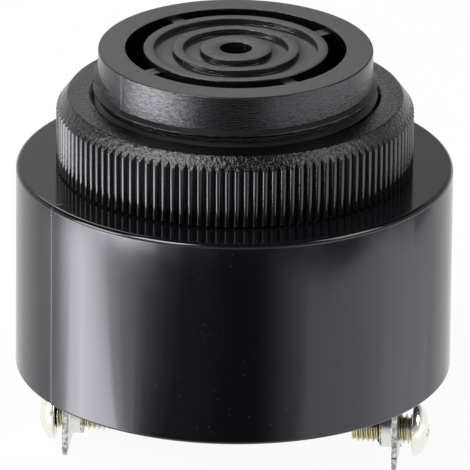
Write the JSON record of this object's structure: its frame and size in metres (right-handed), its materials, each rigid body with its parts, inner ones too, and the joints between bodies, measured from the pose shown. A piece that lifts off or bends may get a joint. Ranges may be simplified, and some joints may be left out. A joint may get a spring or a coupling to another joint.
{
  "type": "piezo buzzer",
  "caption": "Round panel-mounting piezo sounder with a threaded neck, fluted ring nut, slotted front grille and screw terminals at the back.",
  "frame": {"origin": "on the axis of the body, level with the tips of the terminal blades it stands on", "axes": "+Z along the axis, out of the front grille; the terminals lie along X"},
  "size_m": [0.043, 0.043, 0.0428],
  "materials": {
    "housing_plastic": "glossy black moulded plastic",
    "nut_plastic": "fine-grained black moulded plastic",
    "cover_plastic": "satin black moulded plastic",
    "tinned_blade": "tin-plated brass sheet",
    "plated_screw": "nickel-plated steel",
    "brass_sheet": "bare rolled brass",
    "fired_ceramic": "silvered fired ceramic",
    "silicone": "white silicone",
    "board_laminate": "phenolic paper laminate",
    "epoxy": "black moulding epoxy",
    "ferrite": "dark grey ferrite",
    "enamelled_wire": "enamelled copper wire",
    "can_sleeve": "dark sleeve on an aluminium can",
    "dipped_coat": "dipped ochre coating",
    "resistor_lacquer": "beige lacquer",
    "red_insulation": "red wire insulation",
    "black_insulation": "black wire insulation",
    "blue_insulation": "blue wire insulation"
  },
  "bodies": {
    "case": {"housing": "housing_plastic", "back_cover": "cover_plastic", "diaphragm_seal": "silicone", "diaphragm_plate": "brass_sheet", "ceramic_disc": "fired_ceramic", "circuit_board": "board_laminate", "terminal_left": "tinned_blade", "terminal_right": "tinned_blade", "smoothing_capacitor": "can_sleeve", "coil_core": "ferrite", "coil_winding": "enamelled_wire", "drive_transistor": "epoxy", "timing_capacitor": "dipped_coat", "polarity_diode": "epoxy", "bias_resistor": "resistor_lacquer", "feedback_resistor": "resistor_lacquer", "ceramic_wire": "red_insulation", "feedback_wire": "blue_insulation", "plate_wire": "black_insulation"},
    "ring_nut": {"ring_nut": "nut_plastic"},
    "screw_left": {"terminal_screw_left": "plated_screw"},
    "screw_right": {"terminal_screw_right": "plated_screw"}
  },
  "joints": [
    {"name": "ring_nut_travel", "type": "slide", "parent": "case", "child": "ring_nut", "axis": [0, 0, 1], "range_m": [0, 0.006]},
    {"name": "screw_left_travel", "type": "slide", "parent": "case", "child": "screw_left", "axis": [-1, 0, 0], "range_m": [-0.00086, 0.00262]},
    {"name": "screw_right_travel", "type": "slide", "parent": "case", "child": "screw_right", "axis": [1, 0, 0], "range_m": [-0.00131, 0.00217]}
  ]
}
